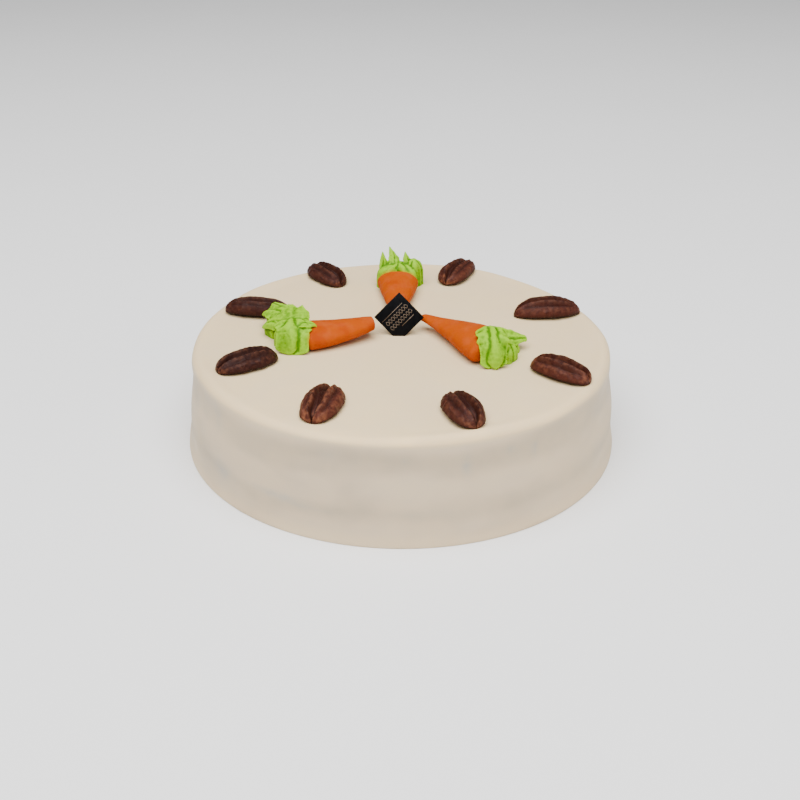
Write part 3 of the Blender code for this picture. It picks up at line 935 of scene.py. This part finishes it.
def pecan_place(sizes, pecan):
    """A function that moves a point of a ball to a pecan half, which lies along +X on Z = 0."""
    length, width, height = sizes
    _, _, groove_at, outer_split, inner_split, left, right, pointed, _, _, seed = pecan

    def place(point):
        share, turn = ball_place(point)
        forward = math.cos(math.pi * (1.0 - share))
        roundness = math.sqrt(max(0.0, 1.0 - forward * forward))
        across = signed_power(math.cos(turn), 1.15)
        middle = groove_line(groove_at, forward, seed)
        lobe = lobe_share(across, middle)
        split = outer_split * smooth_step(forward, 0.15, 0.90) + inner_split * smooth_step(-forward, 0.2, 0.90)
        side_groove = (left if across >= middle else right) * smooth_step(roundness, 0.30, 0.75)
        side_groove *= 0.75 + 0.6 * noise.noise(Vector((3.0 * forward, math.copysign(2.0, across), 4.9 * seed)))
        edge = 0.24 * height * roundness**0.5
        crown = height * roundness ** (0.82 * pointed)
        if math.sin(turn) >= 0.0:
            rise = edge + (crown - edge) * lobe_rise(lobe, side_groove, split)
        else:
            rise = edge * (1.0 - abs(math.sin(turn)) ** 1.3)
        notch = 1.0 - 0.24 * split * max(0.0, 1.0 - lobe / 0.34) ** 1.2
        wobble = noise.noise(Vector((2.1 * forward, math.copysign(1.0, across), 3.7 * seed)))
        ripple = noise.noise(Vector((6.5 * forward, math.copysign(1.0, across), 6.1 * seed)))
        x = 0.5 * length * forward * notch
        y = 0.5 * width * across * roundness**pointed * (1.0 + 0.07 * wobble + 0.05 * ripple)
        upper = smooth_step(math.sin(turn), -0.15, 0.30) * smooth_step(roundness, 0.05, 0.45)
        rise += upper * pecan_folds(x, y, seed)
        return Vector((x, y, max(0.0, rise)))

    return place


def pecan_tones(ball, pecan):
    """For each point of a ball: how much painted shade it gets in the grooves and underneath, and how much tan wear and
    painted highlight it gets.
    """
    _, _, groove_at, _, _, _, _, _, _, wear, seed = pecan
    groove_shades, wear_and_highlight = [], []
    for point in ball.data.vertices:
        share, turn = ball_place(point.co)
        forward = math.cos(math.pi * (1.0 - share))
        across = signed_power(math.cos(turn), 1.15)
        lobe = lobe_share(across, groove_line(groove_at, forward, seed))
        upper = smooth_step(math.sin(turn), -0.1, 0.3)
        inner = math.exp(-((lobe / 0.21) ** 4)) * (1.0 - 0.85 * bump(lobe, 0.0, 0.075))
        side = 0.75 * bump(lobe, 0.58, 0.075) * smooth_step(1.0 - abs(forward), 0.1, 0.5)
        # Painted shade in the central and side grooves, and half of it on the underside.
        groove_shades.append(min(1.0, upper * max(inner, side) + 0.5 * (1.0 - upper)))
        ends = 1.3 * smooth_step(abs(forward), 0.70, 1.0)
        # Tan wear at the ends, and a painted highlight on the lobes' crowns and outer edges.
        wear_and_highlight.append(min(1.0, upper * wear * (ends + bump(lobe, 0.34, 0.16) + 0.7 * bump(lobe, 0.85, 0.12))))
    return groove_shades, wear_and_highlight


def make_pecan(pecan, chosen):
    """One pecan half in the place of its node."""
    node, heading_deg, darkness = pecan[0], pecan[1], pecan[8]
    middle, sizes, foot = measured_lie(node, heading_deg)
    ball = add_ball(node, 144, 96)
    groove_shades, wear_and_highlight = pecan_tones(ball, pecan)
    move_points(ball, pecan_place(sizes, pecan))
    store_values(ball, "groove", groove_shades)
    store_values(ball, "wear_and_highlight", wear_and_highlight)
    store_values(ball, "dark", [darkness] * len(groove_shades))
    ball.location = (middle.x, middle.y, foot - GAP)
    ball.rotation_euler = (0.0, 0.0, math.radians(heading_deg))
    settle(ball)
    roughen(ball, 0.9 * MM, chosen.wrinkle_height)
    apply_modifiers(ball)
    store_relief(ball, 30, 0.25 * MM)
    return ball


class CARROTCAKE_OT_pecans(bpy.types.Operator):
    """Models the ring of pecan halves."""

    bl_idname = "carrotcake.pecans"
    bl_label = "Lay the Pecans"

    def execute(self, context):
        chosen = context.scene.carrot_cake.pecans
        skin = pecan_material(chosen)
        for pecan in PECANS:
            half = make_pecan(pecan, chosen)
            finish_piece(half, pecan[0].replace("pecan", "pecan_half"), pecan[0], skin)
        return {"FINISHED"}


# ---------------------------------------------------------------------------------------------
# Marzipan carrots
# ---------------------------------------------------------------------------------------------


def carrot_place(length, tip_half, root_half, half_height, lift, fullness, bow, neck):
    """A function that moves a point of a ball to a carrot, which lies along +X from its tip."""

    def place(point):
        along, turn = ball_place(point)
        share = 0.5 - 0.5 * math.cos(math.pi * along)
        taper = share**fullness
        taper += neck * (smooth_step(share, *CARROT_NECK_SHARES) - taper)
        cap = closed_ends(share, 0.035, 0.10)
        half_width = (tip_half + (root_half - tip_half) * taper) * cap
        tip_height = CARROT_TIP_HEIGHT * tip_half
        tall = tip_height + (half_height - tip_height) * taper
        middle = lift * (1.0 - share) ** 1.6 + CARROT_BELLY_SHARE * tall
        upward = math.sin(turn)
        if upward < 0.0:
            upward = CARROT_BELLY_SHARE * signed_power(upward, 0.6)
        bent = bow * 4.0 * share * (1.0 - share)
        return Vector(
            (length * share, half_width * math.cos(turn) + bent, max(0.0, middle + tall * cap * upward))
        )

    return place


def make_carrot(node, tip, root, tip_half, root_half, half_height, lift, fullness, bow, neck, seed, chosen):
    """One marzipan carrot in the place of its node."""
    reach = Vector(root) - Vector(tip)
    ball = add_ball(node, 96, 96)
    handled = []
    for point in ball.data.vertices:
        share = ball_place(point.co)[0]
        handled.append(0.9 * bump(share, 0.04, 0.12) + 0.4 * smooth_step(share, 0.74, 0.96))
    sizes = [MM * value for value in (tip_half, root_half, half_height, lift)]
    move_points(ball, carrot_place(reach.length * MM, *sizes, fullness, bow * MM, neck))
    store_values(ball, "handled", handled)
    ball.location = (tip[0] * MM, tip[1] * MM, CAKE_HEIGHT)
    ball.rotation_euler = (0.0, 0.0, math.atan2(reach.y, reach.x))
    settle(ball)
    roughen(ball, (7.0 + 0.1 * seed % 3) * MM, chosen.dent_height)
    roughen(ball, 1.6 * MM, 0.22 * chosen.dent_height)
    return ball


class CARROTCAKE_OT_carrots(bpy.types.Operator):
    """Models the marzipan carrots."""

    bl_idname = "carrotcake.carrots"
    bl_label = "Lay the Carrots"

    def execute(self, context):
        chosen = context.scene.carrot_cake.carrots
        paste = marzipan_material(chosen)
        for carrot in CARROTS:
            made = make_carrot(*carrot, chosen)
            name = carrot[0].replace("carrot", "marzipan_carrot")
            finish_piece(made, name, carrot[0], paste)
        return {"FINISHED"}


# ---------------------------------------------------------------------------------------------
# Piped leaves
# ---------------------------------------------------------------------------------------------


def curve_point(start, middle, tip, share):
    """A point and direction on the smooth curve from start to tip, drawn towards the middle."""
    rest = 1.0 - share
    point = rest * rest * start + 2.0 * rest * share * middle + share * share * tip
    slope = 2.0 * rest * (middle - start) + 2.0 * share * (tip - middle)
    return point, slope.normalized()


def reach_at(reaches, bearing):
    """A mound's reach at a bearing in radians, eased between its eight given ones."""
    step = bearing / (2.0 * math.pi) * len(reaches) % len(reaches)
    first = int(step)
    share = smooth_step(step - first, 0.0, 1.0)
    return reaches[first] * (1.0 - share) + reaches[(first + 1) % len(reaches)] * share


def mound_place(middle, height, fullness, reaches, folds, fold_depth, seed):
    """A function that moves a point of a ball to a mound of icing with folds running down it."""

    def place(point):
        share, bearing = ball_place(point)
        spread = math.sin(math.pi * share)
        round_x, round_y = math.cos(bearing), math.sin(bearing)
        drift = 1.6 * noise.noise(Vector((round_x, round_y, 2.7 * seed)))
        fold = math.sin(folds * (bearing + 0.5 * spread) + 1.9 * seed + 2.0 * drift)
        strength = fold_depth * (0.65 + 0.8 * noise.noise(Vector((1.5 * round_x, 1.5 * round_y, 6.1 * seed))))
        scallop = 0.035 * math.sin(9.0 * bearing + 3.0 * seed + 2.0 * drift)
        reach = reach_at(reaches, bearing) * (1.0 + scallop) + 0.6 * strength * fold
        radius = MM * reach * spread**0.9
        upper = max(0.0, math.cos(math.pi * share)) ** (1.0 - fullness)
        crease = strength * MM * (0.5 * fold - 0.7 * max(0.0, -fold) ** 3) * spread
        minor = math.sin(2.0 * folds * bearing + 3.1 * spread + 4.3 * seed + 3.0 * drift)
        crease -= 0.45 * MM * max(0.0, minor) ** 4 * spread
        lumps = 0.6 * MM * noise.noise(Vector((radius * round_x / (4.5 * MM), radius * round_y / (4.5 * MM), seed)))
        rise = MM * height * upper + (crease + lumps) * min(1.0, 2.0 * upper)
        x = MM * middle[0] + radius * round_x
        y = MM * middle[1] + radius * round_y
        return Vector((x, y, rise if share < 0.5 else -2.0 * MM * spread))

    return place


def leaf_place(start, middle, tip, width, tip_share, thickness, roll_deg, cup, ruffle, vein_depth, folds, seed):
    """A function that moves a point of a ball to a piped leaf."""
    start, middle, tip = (MM * Vector(corner) for corner in (start, middle, tip))
    length = (tip - start).length

    def place(point):
        along, turn = ball_place(point)
        share = 0.5 - 0.5 * math.cos(math.pi * along)
        centre, forward = curve_point(start, middle, tip, share)
        side = Vector((0.0, 0.0, 1.0)).cross(forward).normalized()
        side = Matrix.Rotation(math.radians(roll_deg), 3, forward) @ side
        normal = forward.cross(side)
        across = math.cos(turn)
        full = closed_ends(share, 0.30, 0.06) * (1.0 - (1.0 - tip_share) * smooth_step(share, 0.38, 1.04))
        frill = 1.0 + 0.07 * math.sin(2.0 * math.pi * length * share / (4.6 * MM) + seed)
        half_width = 0.5 * width * MM * full * (frill if share < 0.7 else 1.0)
        half_thick = 0.5 * thickness * MM * closed_ends(share, 0.16, 0.30) * (1.0 - 0.70 * abs(across) ** 1.8)
        upper = max(0.0, math.sin(turn))
        bends = 0.9 * noise.noise(Vector((3.0 * share, 1.2 * across, 3.3 * seed)))
        if vein_depth:
            fold = math.cos(2.0 * math.pi * (length * share / RIDGE_PITCH - abs(across) + bends) + seed)
            ridges = fold * folds * MM * math.sin(math.pi * min(1.0, 1.3 * share)) * upper * (0.25 + 0.75 * abs(across))
        else:
            fan = math.atan2(across, 1.5 * (share - 0.08))
            fold = 2.0 * abs(math.sin(3.2 * fan + 1.4 * bends + seed)) - 1.0
            ridges = fold * folds * MM * smooth_step(share, 0.10, 0.42) * math.sqrt(upper)
            half_width *= 1.0 + 0.06 * fold
            centre = centre + forward * (1.1 * MM * fold * share**6)
        wander = 0.30 * math.sin(4.2 * share + 1.7 * seed)
        vein = -vein_depth * MM * bump(across, wander, 0.17) * upper * smooth_step(share, 0.05, 0.35)
        phase = 2.0 * math.pi * length * share / (8.0 * MM) + (1.3 if across > 0.0 else 3.4) + 1.7 * seed
        lift = cup * MM * across**2 * (1.0 - share) + ruffle * MM * math.sin(phase) * across**2 * (1.0 - share)
        rise = half_thick * math.sin(turn) + lift + ridges + vein
        return centre + side * (half_width * across) + normal * rise

    return place


def fuse_pieces(pieces, voxel):
    """Joins overlapping pieces into one closed skin and softens it."""
    joined = join_pieces(pieces)
    fuse = joined.modifiers.new("fuse", "REMESH")
    fuse.mode = "VOXEL"
    fuse.voxel_size = voxel
    apply_modifiers(joined)
    soften = joined.modifiers.new("soften", "SMOOTH")
    soften.factor = 0.5
    soften.iterations = 2
    apply_modifiers(joined)
    return joined


def nearness(piece, node, reach):
    """For each point of a piece, 1 on the surface of a node, falling to 0 at the reach from it."""
    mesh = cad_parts[node].data
    corners = [point.co for point in mesh.vertices]
    skin = BVHTree.FromPolygons(corners, [tuple(face.vertices) for face in mesh.polygons])
    return [1.0 - smooth_step(skin.find_nearest(point.co)[3], 0.2 * reach, reach) for point in piece.data.vertices]


def make_leaf_top(node, top, chosen):
    """The leaves of one carrot, fused into one piece of icing."""
    blanks = []
    for number, mound in enumerate(top["mounds"]):
        blank = add_ball(f"{node}_mound_{number}", 96, 48)
        move_points(blank, mound_place(*mound, seed=number + len(node)))
        blanks.append(blank)
    for number, leaf in enumerate(top["leaves"]):
        blade = add_ball(f"{node}_leaf_{number}", 64, 96)
        move_points(blade, leaf_place(*leaf, seed=number + len(node)))
        blanks.append(blade)
    icing = fuse_pieces(blanks, chosen.voxel)
    icing.location = (0.0, 0.0, CAKE_HEIGHT)
    settle(icing)
    roughen(icing, 2.6 * MM, 0.40 * MM)
    apply_modifiers(icing)
    low = CAKE_HEIGHT - GAP
    move_points(icing, lambda point: Vector((point.x, point.y, max(low, point.z))))
    store_relief(icing, 40, 0.09 * MM)
    # Where the painted highlight along the edges over the carrot goes.
    store_values(icing, "edge", nearness(icing, top["carrot"], 1.7 * MM))
    return icing


class CARROTCAKE_OT_leaves(bpy.types.Operator):
    """Models the piped leaf tops."""

    bl_idname = "carrotcake.leaves"
    bl_label = "Pipe the Leaves"

    def execute(self, context):
        chosen = context.scene.carrot_cake.leaves
        icing = icing_material(chosen)
        for node, top in LEAF_TOPS.items():
            made = make_leaf_top(node, top, chosen)
            finish_piece(made, node.replace("leaves", "piped_leaves"), node, icing)
        return {"FINISHED"}


# ---------------------------------------------------------------------------------------------
# Plaque
# ---------------------------------------------------------------------------------------------


def add_slab(name, size, place, turn_deg=0.0, edge=0.0):
    """A bevelled slab in the plaque's own plane: X and Z along its face, and -Y out of it."""
    deselect()
    bpy.ops.mesh.primitive_cube_add(size=1.0)
    slab = bpy.context.active_object
    slab.name = name
    slab.scale = size
    settle(slab)
    if edge:
        bpy.ops.object.mode_set(mode="EDIT")
        bpy.ops.mesh.select_all(action="SELECT")
        bpy.ops.mesh.bevel(offset=edge, segments=3, profile=0.5, affect="EDGES")
        bpy.ops.object.mode_set(mode="OBJECT")
    slab.rotation_euler = (0.0, math.radians(turn_deg), 0.0)
    slab.location = place
    settle(slab)
    return slab


def lean(piece):
    """Stands a piece made in the plaque's own plane on its corner, leaning back."""
    half_diagonal = PLAQUE_SIDE / math.sqrt(2.0)
    turn = Matrix.Rotation(math.radians(-45.0), 4, "Y")
    raise_up = Matrix.Translation((0.0, 0.5 * PLAQUE_THICKNESS, half_diagonal - PLAQUE_SUNK))
    tilt = Matrix.Rotation(math.radians(-PLAQUE_LEAN_DEG), 4, "X")
    stand = Matrix.Translation((*PLAQUE_FOOT, CAKE_HEIGHT))
    piece.matrix_world = stand @ tilt @ raise_up @ turn
    settle(piece)


def join_pieces(pieces):
    deselect()
    for piece in pieces:
        piece.select_set(True)
    bpy.context.view_layer.objects.active = pieces[0]
    bpy.ops.object.join()
    return bpy.context.active_object


def make_print(chosen):
    """Two lines with rows of lozenges between them, along the plaque's upper left side."""
    front = -0.5 * PLAQUE_THICKNESS
    wide = chosen.line_width
    strips = []
    for middle, level, length in PLAQUE_LINES:
        strips.append(add_slab("line", (length, PRINT_THICKNESS, wide), (middle, front, level)))
    pitch = PLAQUE_PATTERN_LENGTH / chosen.lozenges
    for row in (-1.0, 1.0):
        for number in range(chosen.lozenges):
            middle = (number - 0.5 * (chosen.lozenges - 1)) * pitch
            strips.extend(lozenge((middle, front, 1.75 * MM * row), 0.5 * pitch, 1.35 * MM, 0.85 * wide))
    return join_pieces(strips)


def lozenge(place, half_length, half_height, stroke):
    """The four strokes of a lozenge."""
    slope = math.degrees(math.atan2(half_height, half_length))
    size = (0.92 * math.hypot(half_length, half_height), PRINT_THICKNESS, stroke)
    strokes = []
    for side in (-1.0, 1.0):
        for level in (-1.0, 1.0):
            middle = (place[0] + 0.5 * side * half_length, place[1], place[2] + 0.5 * level * half_height)
            strokes.append(add_slab("stroke", size, middle, side * level * slope))
    return strokes


class CARROTCAKE_OT_plaque(bpy.types.Operator):
    """Models the dark plaque and its printed lines."""

    bl_idname = "carrotcake.plaque"
    bl_label = "Set the Plaque"

    def execute(self, context):
        chosen = context.scene.carrot_cake.plaque
        size = (PLAQUE_SIDE, PLAQUE_THICKNESS, PLAQUE_SIDE)
        plate = add_slab("plate", size, (0.0, 0.0, 0.0), edge=0.28 * MM)
        lean(plate)
        finish_piece(plate, "chocolate_plaque", "plaque", chocolate_material(chosen))
        lines = make_print(chosen)
        lean(lines)
        finish_piece(lines, "plaque_lines", None, gold_material(chosen))
        return {"FINISHED"}


# ---------------------------------------------------------------------------------------------
# Stage
# ---------------------------------------------------------------------------------------------


def add_area_light(name, place, target, size, power):
    deselect()
    bpy.ops.object.light_add(type="AREA", location=place)
    light = bpy.context.active_object
    light.name = name
    light.data.shape = "DISK"
    light.data.size = size
    light.data.energy = power
    direction = Vector(target) - Vector(place)
    light.rotation_euler = direction.to_track_quat("-Z", "Y").to_euler()
    return light


def add_camera():
    deselect()
    bpy.ops.object.camera_add(location=CAMERA_PLACE)
    camera = bpy.context.active_object
    pitch = Matrix.Rotation(math.radians(90.0 - CAMERA_PITCH_DEG), 4, "X")
    roll = Matrix.Rotation(math.radians(CAMERA_ROLL_DEG), 4, "Z")
    camera.matrix_world = Matrix.Translation(CAMERA_PLACE) @ pitch @ roll
    camera.data.lens = CAMERA_LENS_MM
    camera.data.sensor_width = SENSOR_MM
    camera.data.clip_start = 0.01
    bpy.context.scene.camera = camera


def set_sky(strength):
    world = bpy.context.scene.world or bpy.data.worlds.new("soft_sky")
    bpy.context.scene.world = world
    world.use_nodes = True
    back = world.node_tree.nodes["Background"]
    back.inputs["Color"].default_value = (1.0, 1.0, 1.0, 1.0)
    back.inputs["Strength"].default_value = strength


class CARROTCAKE_OT_stage(bpy.types.Operator):
    """Sets the pale floor, the soft light and the camera."""

    bl_idname = "carrotcake.stage"
    bl_label = "Set the Stage"

    def execute(self, context):
        chosen = context.scene.carrot_cake.stage
        deselect()
        bpy.ops.mesh.primitive_plane_add(size=8.0, location=(0.0, 0.0, 0.0))
        floor = bpy.context.active_object
        floor.name = "floor"
        floor.data.materials.append(floor_material(chosen))
        set_sky(chosen.sky)
        add_area_light("overhead", (-0.10, -0.45, 1.4), (0.0, 0.0, 0.03), 2.0, chosen.key)
        add_area_light("right", (1.5, -0.35, 0.55), (0.0, 0.0, 0.03), 1.0, chosen.fill)
        add_camera()
        return {"FINISHED"}


# ---------------------------------------------------------------------------------------------
# Add-on
# ---------------------------------------------------------------------------------------------


class CARROTCAKE_PT_panel(bpy.types.Panel):
    """Lists the steps and settings of the cake."""

    bl_label = "Carrot Cake"
    bl_idname = "CARROTCAKE_PT_panel"
    bl_space_type = "VIEW_3D"
    bl_region_type = "UI"
    bl_category = "Carrot Cake"

    def draw(self, context):
        chosen = context.scene.carrot_cake
        for step, settings in STEPS:
            box = self.layout.box()
            box.operator(step.bl_idname)
            group = getattr(chosen, settings)
            for name in group.bl_rna.properties.keys():
                if name not in ("rna_type", "name"):
                    box.prop(group, name)


# Each step of the work with the name of its settings, in the order of the work.
STEPS = (
    (CARROTCAKE_OT_frosting, "frosting"),
    (CARROTCAKE_OT_pecans, "pecans"),
    (CARROTCAKE_OT_carrots, "carrots"),
    (CARROTCAKE_OT_leaves, "leaves"),
    (CARROTCAKE_OT_plaque, "plaque"),
    (CARROTCAKE_OT_stage, "stage"),
)

CLASSES = (
    FrostingSettings,
    PecanSettings,
    CarrotSettings,
    LeafSettings,
    PlaqueSettings,
    StageSettings,
    CarrotCakeSettings,
    *(step for step, _ in STEPS),
    CARROTCAKE_PT_panel,
)


def register():
    for made in CLASSES:
        bpy.utils.register_class(made)
    bpy.types.Scene.carrot_cake = PointerProperty(type=CarrotCakeSettings)


def unregister():
    del bpy.types.Scene.carrot_cake
    for made in reversed(CLASSES):
        bpy.utils.unregister_class(made)


def main():
    register()
    bpy.ops.carrotcake.frosting()
    bpy.ops.carrotcake.pecans()
    bpy.ops.carrotcake.carrots()
    bpy.ops.carrotcake.leaves()
    bpy.ops.carrotcake.plaque()
    bpy.ops.carrotcake.stage()


if __name__ == "__main__":
    main()
